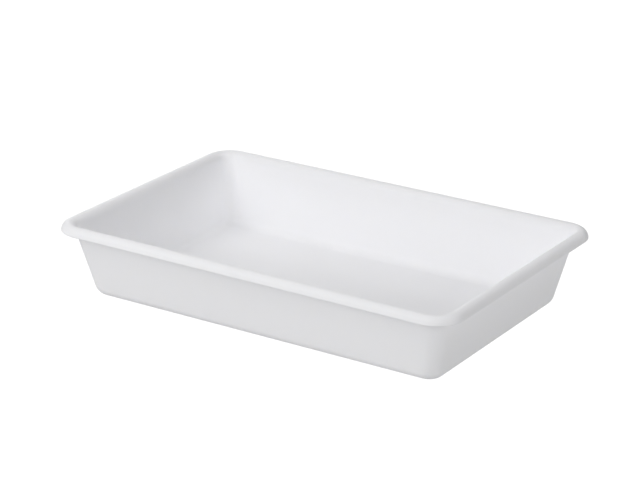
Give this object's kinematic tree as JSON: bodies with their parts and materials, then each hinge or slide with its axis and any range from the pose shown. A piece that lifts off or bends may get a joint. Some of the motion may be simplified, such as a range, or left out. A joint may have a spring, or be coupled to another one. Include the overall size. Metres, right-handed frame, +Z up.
{
  "type": "developing tray",
  "caption": "Deep rectangular darkroom tray with a smooth flat floor, outward-leaning walls, rounded corners and a turned-over rim, moulded in white plastic.",
  "frame": {"origin": "centre of the flat underside, on the surface that the tray stands on", "axes": "+Z up out of the open top, X along the long side, Y along the short side"},
  "size_m": [0.42, 0.2752, 0.0722],
  "materials": {
    "white_plastic": "satin, as moulded"
  },
  "bodies": {
    "root": {"tray_body": "white_plastic"}
  },
  "joints": []
}
